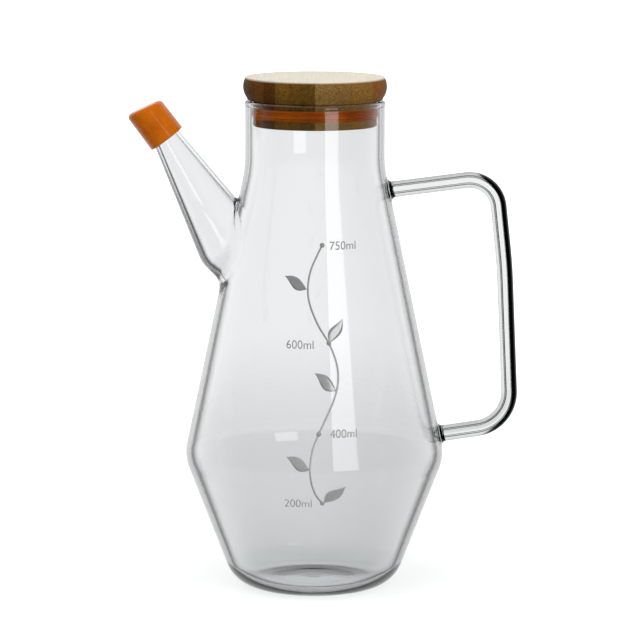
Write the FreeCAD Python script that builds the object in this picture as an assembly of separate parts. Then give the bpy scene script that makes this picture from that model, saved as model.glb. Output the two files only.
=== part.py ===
import FreeCAD, Part
import math
import os

# Glass oil pot: a blown body with a slanting spout and a rod handle, closed by
# a turned bamboo stopper with a silicone seal ring, and by a silicone cap on
# the spout.  Millimetres, +Z up.  The origin is on the body's axis, in the
# plane that the foot stands on.  The spout points to -X, the handle to +X.

# ---- driving dimensions -------------------------------------------------

# body: radii are to the outer surface, at the corners before rounding
FOOT_RADIUS = 32.1
FOOT_ROUND = 14.3
BELLY_RADIUS = 52.8
BELLY_HEIGHT = 53.6
BELLY_ROUND = 17.4
NECK_RADIUS = 28.1
SHOULDER_HEIGHT = 171.4
SHOULDER_ROUND = 46.7
NECK_LENGTH = 26.6
WALL = 1.95
FLOOR = 3.0
RIM_BEAD = 1.15

# shallow hollow under the floor, which leaves a flat foot ring around it
HOLLOW_RADIUS = 17.0
HOLLOW_FLAT = 6.0
HOLLOW_RISE = 1.3
HOLLOW_ROUND = 24.0

# spout: a cone with a ball-shaped root, which is sunk a little into the body
SPOUT_DROP = 30.5
SPOUT_RISE_ANGLE = 59.0
SPOUT_ROOT_DEPTH = 1.0
SPOUT_ROOT_RADIUS = 13.7
SPOUT_NECK_RADIUS = 5.75
SPOUT_CONE_LENGTH = 49.4
NOZZLE_RADIUS = 5.3
NOZZLE_LENGTH = 9.5
NOZZLE_ROUND = 20.0
SPOUT_ROOT_WALL = 2.1
SPOUT_WALL = 1.4
SPOUT_WELD = 0.7

# handle: a glass rod bent at both corners and bowed a little between them,
# with both ends melted onto the body
ROD_DIAMETER = 6.5
HANDLE_TOP_DROP = 9.4
HANDLE_TOP_REACH = 42.7
HANDLE_TOP_ANGLE = 7.4
HANDLE_TOP_BEND = 11.9
HANDLE_TOP_WELD = 2.4
HANDLE_BOW_DROP = 36.0
HANDLE_BOW = 1.5
HANDLE_BOW_BEND = 220.0
HANDLE_FOOT_RISE = 8.7
HANDLE_FOOT_REACH = 28.7
HANDLE_FOOT_ANGLE = 8.5
HANDLE_FOOT_BEND = 15.0
HANDLE_FOOT_WELD = 1.0

# stopper: a disc with a plug below it, turned from one block
DISC_THICKNESS = 9.3
DISC_TOP_SET_IN = 0.1
DISC_BULGE_OVERHANG = 0.8
DISC_BULGE_HEIGHT = 5.1
DISC_UNDER_SET_IN = 0.7
DISC_UNDER_ROUND = 0.9
DISC_EDGE_ROUND = 0.35
DISC_GAP = 0.3
PLUG_CLEARANCE = 1.35
PLUG_LENGTH = 10.3
PLUG_ROUND = 0.8

# seal ring in a groove around the plug, with two lips against the neck
GROOVE_DEPTH = 1.2
GROOVE_CLEARANCE = 0.05
RING_TOP_DROP = 2.6
RING_HEIGHT = 4.3
LIP_CLEARANCE = 0.1
LIP_COUNT = 2
LIP_PITCH = 2.3
LIP_THICKNESS = 0.55
RING_BAND = 0.35

# cap: a soft thimble pushed over the nozzle, a little askew
CAP_WALL = 1.9
CAP_TAPER = 0.2
CAP_LENGTH = 15.8
CAP_TILT = 6.0
CAP_END_SLANT = 12.0
CAP_END_ROUND = 1.9
CAP_RIM_ROUND = 0.5
CAP_CLEARANCE = 0.1
CAP_DEPTH = 12.6

# ---- helpers ------------------------------------------------------------

AXIS = FreeCAD.Vector(0, 0, 1)
SIDEWAYS = FreeCAD.Vector(0, 1, 0)
ORIGIN = FreeCAD.Vector(0, 0, 0)


def flat(point):
    """A (radius, height) pair as a point of the XZ plane."""
    return FreeCAD.Vector(point[0], 0, point[1])


def unit(vector):
    return FreeCAD.Vector(vector).normalize()


def rounded_path(corners, rounds):
    """Edges through the corners, each inner corner replaced by a tangent arc."""
    edges = []
    start = corners[0]
    for before, corner, after, radius in zip(corners, corners[1:], corners[2:], rounds):
        back = unit(before - corner)
        ahead = unit(after - corner)
        half_turn = (math.pi - back.getAngle(ahead)) / 2
        reach = radius * math.tan(half_turn)
        arc_start = corner + back * reach
        arc_end = corner + ahead * reach
        depth = radius / math.cos(half_turn) - radius
        arc_middle = corner + unit(back + ahead) * depth
        edges.append(Part.LineSegment(start, arc_start).toShape())
        edges.append(Part.Arc(arc_start, arc_middle, arc_end).toShape())
        start = arc_end
    edges.append(Part.LineSegment(start, corners[-1]).toShape())
    return edges


def turned(edges):
    """Solid of revolution about Z, from edges that begin and end off or on the axis."""
    first = edges[0].Vertexes[0].Point
    last = edges[-1].Vertexes[-1].Point
    axis_top = FreeCAD.Vector(0, 0, last.z)
    axis_foot = FreeCAD.Vector(0, 0, first.z)
    loop = list(edges)
    for here, there in ((last, axis_top), (axis_top, axis_foot), (axis_foot, first)):
        if (here - there).Length > 1e-6:
            loop.append(Part.LineSegment(here, there).toShape())
    face = Part.Face(Part.Wire(loop))
    return face.revolve(ORIGIN, AXIS, 360)


def closed_ring(edges):
    """Solid of revolution about Z of a closed outline that stays off the axis."""
    face = Part.Face(Part.Wire(edges))
    return face.revolve(ORIGIN, AXIS, 360)


def inset_line(start, end, distance):
    """The line from start to end, moved to its left by the distance."""
    along = unit(end - start)
    left = FreeCAD.Vector(-along.z, 0, along.x)
    return start + left * distance, along


def crossing(line_a, line_b):
    """Where two lines of the XZ plane meet."""
    (point_a, along_a), (point_b, along_b) = line_a, line_b
    gap = point_b - point_a
    cross = along_a.x * along_b.z - along_a.z * along_b.x
    travel = (gap.x * along_b.z - gap.z * along_b.x) / cross
    return point_a + along_a * travel


def inset_corners(corners, insets):
    """The same outline, each run moved to its left by its own inset."""
    lines = []
    for start, end, inset in zip(corners, corners[1:], insets):
        lines.append(inset_line(start, end, inset))
    moved = [FreeCAD.Vector(corners[0].x, 0, lines[0][0].z)]
    for line_a, line_b in zip(lines, lines[1:]):
        moved.append(crossing(line_a, line_b))
    moved.append(FreeCAD.Vector(lines[-1][0].x, 0, corners[-1].z))
    return moved


def softened(solid, radius, picks):
    """The solid with a fillet along each edge that picks is true for."""
    return solid.makeFillet(radius, [edge for edge in solid.Edges if picks(edge)])


# ---- body ---------------------------------------------------------------

def body_corners():
    rim = SHOULDER_HEIGHT + NECK_LENGTH - RIM_BEAD
    pairs = (
        (0, HOLLOW_RISE),
        (HOLLOW_FLAT, HOLLOW_RISE),
        (HOLLOW_RADIUS, 0),
        (FOOT_RADIUS, 0),
        (BELLY_RADIUS, BELLY_HEIGHT),
        (NECK_RADIUS, SHOULDER_HEIGHT),
        (NECK_RADIUS, rim),
    )
    return [flat(pair) for pair in pairs]


def wall_radius(height):
    """Outer radius of the body between belly and rim, before rounding."""
    if height >= SHOULDER_HEIGHT:
        return NECK_RADIUS
    share = (height - BELLY_HEIGHT) / (SHOULDER_HEIGHT - BELLY_HEIGHT)
    return BELLY_RADIUS + (NECK_RADIUS - BELLY_RADIUS) * share


def body_outside():
    rounds = (HOLLOW_ROUND, HOLLOW_ROUND, FOOT_ROUND, BELLY_ROUND, SHOULDER_ROUND)
    return turned(rounded_path(body_corners(), rounds))


def body_inside():
    """The space in the body, run up past the rim so that it opens the neck."""
    insets = (FLOOR, FLOOR, FLOOR, WALL, WALL, WALL)
    corners = inset_corners(body_corners(), insets)
    corners[-1].z += 3 * RIM_BEAD
    rounds = (
        HOLLOW_ROUND + FLOOR,
        HOLLOW_ROUND - FLOOR,
        FOOT_ROUND - WALL,
        BELLY_ROUND - WALL,
        SHOULDER_ROUND + WALL,
    )
    return turned(rounded_path(corners, rounds))


def rim_bead():
    height = SHOULDER_HEIGHT + NECK_LENGTH - RIM_BEAD
    return Part.makeTorus(NECK_RADIUS - WALL / 2, RIM_BEAD, FreeCAD.Vector(0, 0, height), AXIS)


# ---- spout --------------------------------------------------------------

def spout_placement():
    """Carries +Z onto the spout's axis, which climbs towards -X from the root."""
    height = SHOULDER_HEIGHT - SPOUT_DROP
    on_wall = FreeCAD.Vector(-wall_radius(height), 0, height)
    turn = FreeCAD.Rotation(SIDEWAYS, SPOUT_RISE_ANGLE - 90)
    return FreeCAD.Placement(on_wall - turn.multVec(AXIS) * SPOUT_ROOT_DEPTH, turn)


def spout_form(root_inset, inset, extra):
    """A ball at the root, a cone and a nozzle, inset and lengthened as asked."""
    root = SPOUT_ROOT_RADIUS - root_inset
    neck = SPOUT_NECK_RADIUS - inset
    nozzle = NOZZLE_RADIUS - inset
    lean = math.atan((root - neck) / SPOUT_CONE_LENGTH)
    touch = flat((root * math.cos(lean), root * math.sin(lean)))
    middle = flat((root * math.cos(lean / 2 - math.pi / 4), root * math.sin(lean / 2 - math.pi / 4)))
    ball = Part.Arc(flat((0, -root)), middle, touch).toShape()
    tip = SPOUT_CONE_LENGTH + NOZZLE_LENGTH + extra
    corners = [touch, flat((neck, SPOUT_CONE_LENGTH)), flat((nozzle, tip))]
    solid = turned([ball] + rounded_path(corners, (NOZZLE_ROUND,)))
    solid.Placement = spout_placement()
    return solid


def on_spout_seam(edge):
    """True on the oval seam where the spout's root meets the body."""
    root = spout_placement().Base
    near = all((vertex.Point - root).Length < 2 * SPOUT_ROOT_RADIUS for vertex in edge.Vertexes)
    return near and edge.Curve.TypeId == "Part::GeomBSplineCurve"


# ---- handle -------------------------------------------------------------

def handle_corners():
    """Centre line of the rod: wall, upper bend, bow, lower bend, wall."""
    top = SHOULDER_HEIGHT - HANDLE_TOP_DROP
    foot = BELLY_HEIGHT + HANDLE_FOOT_RISE
    sink = WALL / 2
    top_x = wall_radius(top)
    foot_x = wall_radius(foot)
    top_climb = math.tan(math.radians(HANDLE_TOP_ANGLE))
    foot_climb = math.tan(math.radians(HANDLE_FOOT_ANGLE))
    upper = flat((top_x + HANDLE_TOP_REACH, top + HANDLE_TOP_REACH * top_climb))
    lower = flat((foot_x + HANDLE_FOOT_REACH, foot + HANDLE_FOOT_REACH * foot_climb))
    bow = upper + unit(lower - upper) * HANDLE_BOW_DROP + FreeCAD.Vector(HANDLE_BOW, 0, 0)
    start = flat((top_x - sink, top - sink * top_climb))
    end = flat((foot_x - sink, foot - sink * foot_climb))
    return [start, upper, bow, lower, end]


def handle_rod():
    corners = handle_corners()
    path = Part.Wire(rounded_path(corners, (HANDLE_TOP_BEND, HANDLE_BOW_BEND, HANDLE_FOOT_BEND)))
    circle = Part.Circle(corners[0], unit(corners[1] - corners[0]), ROD_DIAMETER / 2)
    return path.makePipeShell([Part.Wire(circle.toShape())], True, False)


def on_handle_end(corner):
    """Picks the seam around one end of the rod."""
    def check(edge):
        spread = edge.BoundBox
        close = (spread.Center - corner).Length < ROD_DIAMETER
        return close and spread.DiagonalLength < 3 * ROD_DIAMETER and spread.YLength > ROD_DIAMETER / 2
    return check


# ---- the glass ----------------------------------------------------------

def glass_pot():
    outside = body_outside().fuse(spout_form(0, 0, 0))
    outside = softened(outside, SPOUT_WELD, on_spout_seam)
    rod_ends = handle_corners()
    outside = outside.fuse(handle_rod())
    outside = softened(outside, HANDLE_TOP_WELD, on_handle_end(rod_ends[0]))
    outside = softened(outside, HANDLE_FOOT_WELD, on_handle_end(rod_ends[-1]))
    inside = body_inside().fuse(spout_form(SPOUT_ROOT_WALL, SPOUT_WALL, NOZZLE_LENGTH))
    inside = softened(inside, SPOUT_WELD, on_spout_seam)
    return outside.cut(inside).fuse(rim_bead())


# ---- stopper ------------------------------------------------------------

def neck_bore():
    return NECK_RADIUS - WALL


def rim_top():
    return SHOULDER_HEIGHT + NECK_LENGTH


def disc_under():
    return rim_top() + DISC_GAP


def plug_radius():
    return neck_bore() - PLUG_CLEARANCE


def groove_span():
    """Lower and upper height of the groove for the seal ring."""
    top = disc_under() - RING_TOP_DROP
    return top - RING_HEIGHT - 2 * GROOVE_CLEARANCE, top


def quarter_round(start, corner, end):
    """Quarter circle from start to end, in place of the square corner between them."""
    chord_middle = (start + end) / 2
    middle = corner + (chord_middle - corner) * (2 - math.sqrt(2))
    return Part.Arc(start, middle, end).toShape()


def bamboo_lid():
    plug = plug_radius()
    groove = plug - GROOVE_DEPTH
    low, high = groove_span()
    under = disc_under()
    under_radius = NECK_RADIUS - DISC_UNDER_SET_IN
    top = under + DISC_THICKNESS
    top_radius = NECK_RADIUS - DISC_TOP_SET_IN
    side_foot = flat((under_radius, under + DISC_UNDER_ROUND))
    side_top = flat((top_radius, top - DISC_EDGE_ROUND))
    bulge = flat((NECK_RADIUS + DISC_BULGE_OVERHANG, under + DISC_BULGE_HEIGHT))
    side = Part.Arc(side_foot, bulge, side_top).toShape()
    under_end = flat((under_radius - DISC_UNDER_ROUND, under))
    top_end = flat((top_radius - DISC_EDGE_ROUND, top))
    under_round = quarter_round(under_end, flat((under_radius, under)), side_foot)
    edge_round = quarter_round(side_top, flat((top_radius, top)), top_end)
    plug_end = under - PLUG_LENGTH
    foot = rounded_path([flat((0, plug_end)), flat((plug, plug_end)), flat((plug, low))], (PLUG_ROUND,))
    steps = [(plug, low), (groove, low), (groove, high), (plug, high), (plug, under)]
    steps.append((under_radius - DISC_UNDER_ROUND, under))
    shaft = [
        Part.LineSegment(flat(here), flat(there)).toShape()
        for here, there in zip(steps, steps[1:])
    ]
    return turned(foot + shaft + [under_round, side, edge_round])


def seal_ring():
    low, high = groove_span()
    low += GROOVE_CLEARANCE
    high -= GROOVE_CLEARANCE
    inner = plug_radius() - GROOVE_DEPTH + GROOVE_CLEARANCE
    band = plug_radius() + RING_BAND
    tip = neck_bore() - LIP_CLEARANCE
    corners = [(inner, low), (plug_radius(), low), (band, low + RING_BAND)]
    for number in range(LIP_COUNT):
        lip = high - LIP_THICKNESS - (LIP_COUNT - 1 - number) * LIP_PITCH
        corners.append((band, lip - LIP_THICKNESS))
        corners.append((tip, lip))
        corners.append((tip, lip + LIP_THICKNESS))
        if number < LIP_COUNT - 1:
            corners.append((band, lip + LIP_THICKNESS))
    corners.append((inner, high))
    corners.append((inner, low))
    outline = Part.makePolygon([flat(corner) for corner in corners])
    return closed_ring(outline.Edges)


# ---- spout cap ----------------------------------------------------------

def spout_cap():
    open_radius = SPOUT_NECK_RADIUS + CAP_CLEARANCE + CAP_WALL
    stretch = 1 + open_radius / CAP_LENGTH
    cone = Part.makeCone(open_radius, open_radius - CAP_TAPER * stretch, CAP_LENGTH * stretch)
    size = 4 * open_radius
    cutter = Part.makeBox(size, size, size, FreeCAD.Vector(-size / 2, -size / 2, 0))
    cutter.rotate(ORIGIN, SIDEWAYS, CAP_END_SLANT)
    cutter.translate(FreeCAD.Vector(0, 0, CAP_LENGTH))
    outside = cone.cut(cutter)
    outside = softened(outside, CAP_END_ROUND, lambda edge: edge.BoundBox.ZMin > CAP_LENGTH / 2)
    outside = softened(outside, CAP_RIM_ROUND, lambda edge: edge.BoundBox.ZMax < CAP_RIM_ROUND)
    outside.rotate(ORIGIN, SIDEWAYS, -CAP_TILT)
    outside.translate(FreeCAD.Vector(0, 0, SPOUT_CONE_LENGTH))
    outside.Placement = spout_placement().multiply(outside.Placement)
    nozzle_room = spout_form(-CAP_CLEARANCE, -CAP_CLEARANCE, CAP_DEPTH - NOZZLE_LENGTH)
    return outside.cut(nozzle_room)


# ---- write the pieces ---------------------------------------------------

PIECES = {
    "glass_pot": glass_pot,
    "bamboo_lid": bamboo_lid,
    "seal_ring": seal_ring,
    "spout_cap": spout_cap,
}

os.makedirs("parts", exist_ok=True)
for name, make in PIECES.items():
    shape = make()
    print(name, len(shape.Solids), "solid,", round(shape.Volume), "mm3, valid:", shape.isValid())
    shape.exportStep(os.path.join("parts", name + ".step"))
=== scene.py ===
import bmesh
import bpy
import math
from mathutils import Matrix, Vector


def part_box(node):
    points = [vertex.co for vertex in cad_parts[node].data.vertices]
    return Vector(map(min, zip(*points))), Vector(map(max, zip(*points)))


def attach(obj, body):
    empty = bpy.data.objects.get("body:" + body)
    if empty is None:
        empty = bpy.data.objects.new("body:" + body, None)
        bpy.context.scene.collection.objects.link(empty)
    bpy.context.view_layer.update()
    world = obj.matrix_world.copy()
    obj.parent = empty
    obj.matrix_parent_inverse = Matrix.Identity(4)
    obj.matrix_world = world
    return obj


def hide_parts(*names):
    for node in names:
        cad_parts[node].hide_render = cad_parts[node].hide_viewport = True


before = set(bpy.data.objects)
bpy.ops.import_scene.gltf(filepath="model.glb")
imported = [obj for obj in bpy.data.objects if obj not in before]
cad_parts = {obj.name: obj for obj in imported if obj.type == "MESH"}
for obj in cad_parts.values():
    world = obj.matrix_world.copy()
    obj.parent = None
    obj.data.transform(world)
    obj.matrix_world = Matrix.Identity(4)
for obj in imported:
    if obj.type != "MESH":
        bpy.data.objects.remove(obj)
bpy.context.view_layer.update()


# ---- the glass pot --------------------------------------------------------
# One piece of clear borosilicate glass.  The body is blown, with a thicker floor
# and a bead at the rim.  The spout is a drawn cone melted over a hole in the
# wall, and the handle is a bent rod melted on at both ends.

MM = 0.001
FOOT_RADIUS = 32.1 * MM
FOOT_ROUND = 14.3 * MM
BELLY_RADIUS = 52.8 * MM
BELLY_HEIGHT = 53.6 * MM
BELLY_ROUND = 17.4 * MM
NECK_RADIUS = 28.1 * MM
SHOULDER_HEIGHT = 171.4 * MM
SHOULDER_ROUND = 46.7 * MM
RIM_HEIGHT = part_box("glass_pot")[1].z
RIM_BEAD = 1.15 * MM
BEAD_DIP = 32
BEAD_STEPS = 10
WALL = 1.95 * MM
FLOOR = 3.0 * MM
HOLLOW_RADIUS = 17.0 * MM
HOLLOW_FLAT = 6.0 * MM
HOLLOW_RISE = 1.3 * MM
HOLLOW_ROUND = 24.0 * MM
BODY_SIDES = 192
RUN_STEP = 3.0 * MM
ROUND_STEP = math.radians(2.5)

SPOUT_HEIGHT = SHOULDER_HEIGHT - 30.5 * MM
SPOUT_ANGLE = 59.0
SPOUT_DEPTH = 1.0 * MM
SPOUT_ROOT = 13.7 * MM
SPOUT_NECK = 5.75 * MM
SPOUT_CONE = 49.4 * MM
NOZZLE_RADIUS = 5.3 * MM
NOZZLE_LENGTH = 9.5 * MM
NOZZLE_ROUND = 20.0 * MM
SPOUT_WALL = 1.4 * MM
SPOUT_ROOT_WALL = 1.5 * MM
SPOUT_SIDES = 96
BALL_STEPS = 24
NOZZLE_STEP = 1.2 * MM
SPOUT_TOP_WELD = 1.5 * MM
SPOUT_FOOT_WELD = 6.5 * MM
SPOUT_WELD_START = 14 * MM
SPOUT_WELD_SPREAD = 20 * MM
SPOUT_MELT_REACH = 5 * MM
SPOUT_MELT_GRAIN = 1.4 * MM
SPOUT_MELT_PASSES = 7
SPOUT_JOINT_HEIGHT = 42 * MM
SPOUT_JOINT_REACH = 30 * MM
SPOUT_JOINT_SIDE = -8 * MM
SPOUT_JOINT_SKIN = 8 * MM

ROD_RADIUS = 3.25 * MM
ROD_SIDES = 40
ROD_STEP = 1.0 * MM
HANDLE_WELD = 2.2 * MM
HANDLE_MELT_REACH = 7 * MM
HANDLE_MELT_GRAIN = 0.9 * MM
HANDLE_MELT_PASSES = 5
HANDLE_JOINT_HEIGHT = 14 * MM
HANDLE_JOINT_REACH = 16 * MM
HANDLE_TOP = SHOULDER_HEIGHT - 9.4 * MM
HANDLE_FOOT = BELLY_HEIGHT + 8.7 * MM
HANDLE_TOP_REACH = 42.7 * MM
HANDLE_FOOT_REACH = 28.7 * MM
HANDLE_TOP_ANGLE = 7.4
HANDLE_FOOT_ANGLE = 8.5
HANDLE_BOW_DROP = 36.0 * MM
HANDLE_BOW = 1.5 * MM
HANDLE_BENDS = (11.9 * MM, 220.0 * MM, 15.0 * MM)

HAIR = 0.01 * MM
FAR_OFF = 1.0
SPLIT_ROUNDS = 3
INNER_SHARE = 0.9

# how much light each skin lets through, by how far it leans away from the eye: painted shade that darkens
# its colour at a slant, standing in for the dark room its slanted parts would show
GLASS_TINT = (0.985, 0.995, 1.0, 1)
GLASS_SHADOW = (0.93, 0.94, 0.94, 1)
GLASS_IOR = 1.47
OUTER_EDGE = ((0.0, 1.0), (0.60, 1.0), (0.68, 0.30), (0.80, 0.50), (1.0, 0.85))
# painted shade: where the outer skin faces +X, its colour is darker all over as well as at a slant
OUTER_RIGHT_PAINTED_SHADE = ((0.0, 0.92), (0.60, 0.91), (0.68, 0.28), (0.80, 0.45), (1.0, 0.80))
# painted shade: a dark band where the spout's skin faces -X
SPOUT_LEFT_PAINTED_SHADE = ((0.0, 1.0), (0.42, 1.0), (0.58, 0.05), (0.80, 0.15), (1.0, 0.80))
INNER_EDGE = ((0.0, 1.0), (0.63, 1.0), (0.79, 0.0))
# painted shade: the bore is darker at a slant, and more so where it faces +X
BORE_EDGE = ((0.0, 1.0), (0.45, 1.0), (0.75, 0.1))
BORE_RIGHT_PAINTED_SHADE = ((0.0, 1.0), (0.44, 1.0), (0.60, 0.0))
# painted shade: dark lines and bands on the handle rod, heavy where it faces +X and thin where it faces
# -X
ROD_EDGE = (
    (0.0, 1.0), (0.045, 1.0), (0.053, 0.06), (0.080, 0.06),
    (0.090, 0.95), (0.40, 0.75), (1.0, 0.25),
)
ROD_OUTER_PAINTED_SHADE = ((0.0, 1.0), (0.015, 1.0), (0.035, 0.0), (0.90, 0.0), (1.0, 0.2))
ROD_INNER_PAINTED_SHADE = ((0.0, 1.0), (0.055, 1.0), (0.060, 0.0), (0.100, 0.0), (0.106, 0.95), (1.0, 0.75))


def flat(radius, height):
    """A point of the XZ plane."""
    return Vector((radius, 0, height))


def rounded_line(corners, rounds, run_step=RUN_STEP):
    """Points along the corners, with a tangent arc in place of each inner one."""
    points = [corners[0]]
    for before, corner, after, radius in zip(corners, corners[1:], corners[2:], rounds):
        back = (before - corner).normalized()
        ahead = (after - corner).normalized()
        half_turn = (math.pi - back.angle(ahead)) / 2
        reach = radius * math.tan(half_turn)
        centre = corner + (back + ahead).normalized() * (radius / math.cos(half_turn))
        arc_start = corner + back * reach
        add_run(points, arc_start, run_step)
        spoke = arc_start - centre
        axis = spoke.cross(corner - arc_start).normalized()
        steps = max(3, math.ceil(2 * half_turn / ROUND_STEP))
        for step in range(1, steps + 1):
            turn = Matrix.Rotation(2 * half_turn * step / steps, 3, axis)
            points.append(centre + turn @ spoke)
    add_run(points, corners[-1], run_step)
    return points


def add_run(points, end, run_step):
    """Evenly spaced points from the last one to the end."""
    start = points[-1]
    steps = max(1, math.ceil((end - start).length / run_step))
    for step in range(1, steps + 1):
        points.append(start.lerp(end, step / steps))


def inset_corners(corners, insets):
    """The outline with each run moved inwards, to its left, by its own inset."""
    lines = []
    for start, end, inset in zip(corners, corners[1:], insets):
        along = (end - start).normalized()
        left = Vector((-along.z, 0, along.x))
        lines.append((start + left * inset, along))
    moved = [flat(corners[0].x, lines[0][0].z)]
    for (point_a, along_a), (point_b, along_b) in zip(lines, lines[1:]):
        gap = point_b - point_a
        cross = along_a.x * along_b.z - along_a.z * along_b.x
        moved.append(point_a + along_a * ((gap.x * along_b.z - gap.z * along_b.x) / cross))
    moved.append(flat(lines[-1][0].x, corners[-1].z))
    return moved


def add_piece(name, mesh, material):
    """A finished mesh becomes a smooth piece that rides on the pot."""
    piece = bpy.data.objects.new(name, mesh)
    bpy.context.scene.collection.objects.link(piece)
    for face in mesh.polygons:
        face.use_smooth = True
    if material:
        mesh.materials.clear()
        mesh.materials.append(material)
    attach(piece, "root")
    return piece


def turned_mesh(name, outline, sides):
    """Closed mesh of the outline turned about Z. Its ends lie on the axis or meet."""
    form = bmesh.new()
    rings = []
    for point in outline:
        if point.x < 1e-7:
            rings.append([form.verts.new((0, 0, point.z))])
            continue
        ring = []
        for side in range(sides):
            angle = 2 * math.pi * side / sides
            ring.append(form.verts.new((point.x * math.cos(angle), point.x * math.sin(angle), point.z)))
        rings.append(ring)
    for low, high in zip(rings, rings[1:]):
        for side in range(sides):
            ahead = (side + 1) % sides
            below = [low[side % len(low)], low[ahead % len(low)]]
            above = [high[ahead % len(high)], high[side % len(high)]]
            face = list(dict.fromkeys(below + above))
            if len(face) > 2:
                form.faces.new(face)
    bmesh.ops.remove_doubles(form, verts=form.verts, dist=1e-8)
    bmesh.ops.recalc_face_normals(form, faces=form.faces)
    mesh = bpy.data.meshes.new(name)
    form.to_mesh(mesh)
    form.free()
    return mesh


def rod_mesh(name, path, radius, sides):
    """Closed round rod along a path that lies in the XZ plane."""
    form = bmesh.new()
    rings = []
    for index, point in enumerate(path):
        before = path[max(index - 1, 0)]
        after = path[min(index + 1, len(path) - 1)]
        along = (after - before).normalized()
        across = Vector((-along.z, 0, along.x))
        ring = []
        for side in range(sides):
            angle = 2 * math.pi * side / sides
            offset = across * math.cos(angle) + Vector((0, 1, 0)) * math.sin(angle)
            ring.append(form.verts.new(point + offset * radius))
        rings.append(ring)
    for low, high in zip(rings, rings[1:]):
        for side in range(sides):
            ahead = (side + 1) % sides
            form.faces.new((low[side], low[ahead], high[ahead], high[side]))
    form.faces.new(rings[0])
    form.faces.new(rings[-1])
    bmesh.ops.recalc_face_normals(form, faces=form.faces)
    mesh = bpy.data.meshes.new(name)
    form.to_mesh(mesh)
    form.free()
    return mesh


def wall_radius(height):
    """Outer radius of the glass on the straight runs above the belly."""
    share = (height - BELLY_HEIGHT) / (SHOULDER_HEIGHT - BELLY_HEIGHT)
    return BELLY_RADIUS + (NECK_RADIUS - BELLY_RADIUS) * min(share, 1)


BODY_CORNERS = (
    flat(0, HOLLOW_RISE),
    flat(HOLLOW_FLAT, HOLLOW_RISE),
    flat(HOLLOW_RADIUS, 0),
    flat(FOOT_RADIUS, 0),
    flat(BELLY_RADIUS, BELLY_HEIGHT),
    flat(NECK_RADIUS, SHOULDER_HEIGHT),
    flat(NECK_RADIUS, RIM_HEIGHT - 2 * RIM_BEAD),
)
BODY_ROUNDS = (HOLLOW_ROUND, HOLLOW_ROUND, FOOT_ROUND, BELLY_ROUND, SHOULDER_ROUND)


def bead_arc(from_angle, to_angle):
    """Part of the round bead on the rim, by angles above the horizontal."""
    points = []
    for step in range(BEAD_STEPS + 1):
        angle = math.radians(from_angle + (to_angle - from_angle) * step / BEAD_STEPS)
        radius = NECK_RADIUS - WALL / 2 + RIM_BEAD * math.cos(angle)
        height = RIM_HEIGHT - RIM_BEAD + RIM_BEAD * math.sin(angle)
        points.append(flat(radius, height))
    return points


def body_outside():
    """Outline of the body's outer skin, from the foot's middle to the rim."""
    outline = rounded_line(BODY_CORNERS, BODY_ROUNDS) + bead_arc(-BEAD_DIP, 90)
    return outline + [flat(0, RIM_HEIGHT)]


def body_inside():
    """Outline of the hollow, run up past the rim so that it opens the neck."""
    corners = inset_corners(BODY_CORNERS, (FLOOR, FLOOR, FLOOR, WALL, WALL, WALL))
    rounds = (
        HOLLOW_ROUND + FLOOR,
        HOLLOW_ROUND - FLOOR,
        FOOT_ROUND - WALL,
        BELLY_ROUND - WALL,
        SHOULDER_ROUND + WALL,
    )
    outline = rounded_line(corners, rounds) + bead_arc(180 + BEAD_DIP, 90)
    above = RIM_HEIGHT + 3 * RIM_BEAD
    return outline + [flat(NECK_RADIUS - WALL / 2, above), flat(0, above)]


def spout_placement():
    """Carries +Z onto the spout's axis, which climbs towards -X."""
    turn = Matrix.Rotation(math.radians(SPOUT_ANGLE - 90), 4, "Y")
    on_wall = Vector((-wall_radius(SPOUT_HEIGHT), 0, SPOUT_HEIGHT))
    axis = turn @ Vector((0, 0, 1))
    return Matrix.Translation(on_wall - axis * SPOUT_DEPTH) @ turn


def spout_outline(root_inset, inset, extra):
    """Ball at the root, cone and nozzle, inset and lengthened as asked."""
    root = SPOUT_ROOT - root_inset
    neck = SPOUT_NECK - inset
    lean = math.atan((root - neck) / SPOUT_CONE)
    ball = []
    for step in range(BALL_STEPS):
        angle = -math.pi / 2 + (lean + math.pi / 2) * step / BALL_STEPS
        ball.append(flat(root * math.cos(angle), root * math.sin(angle)))
    corners = [
        flat(root * math.cos(lean), root * math.sin(lean)),
        flat(neck, SPOUT_CONE),
        flat(NOZZLE_RADIUS - inset, SPOUT_CONE + NOZZLE_LENGTH + extra),
    ]
    ball[0].x = 0
    outline = ball + rounded_line(corners, (NOZZLE_ROUND,), NOZZLE_STEP)
    outline.append(flat(0, outline[-1].z))
    return outline


def handle_path():
    """Centre line of the rod, from inside the wall round to inside the wall."""
    top_x = wall_radius(HANDLE_TOP)
    foot_x = wall_radius(HANDLE_FOOT)
    top_climb = math.tan(math.radians(HANDLE_TOP_ANGLE))
    foot_climb = math.tan(math.radians(HANDLE_FOOT_ANGLE))
    upper = flat(top_x + HANDLE_TOP_REACH, HANDLE_TOP + HANDLE_TOP_REACH * top_climb)
    lower = flat(foot_x + HANDLE_FOOT_REACH, HANDLE_FOOT + HANDLE_FOOT_REACH * foot_climb)
    bow = upper + (lower - upper).normalized() * HANDLE_BOW_DROP + Vector((HANDLE_BOW, 0, 0))
    sink = WALL / 2
    start = flat(top_x - sink, HANDLE_TOP - sink * top_climb)
    end = flat(foot_x - sink, HANDLE_FOOT - sink * foot_climb)
    return rounded_line([start, upper, bow, lower, end], HANDLE_BENDS, ROD_STEP)


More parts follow.
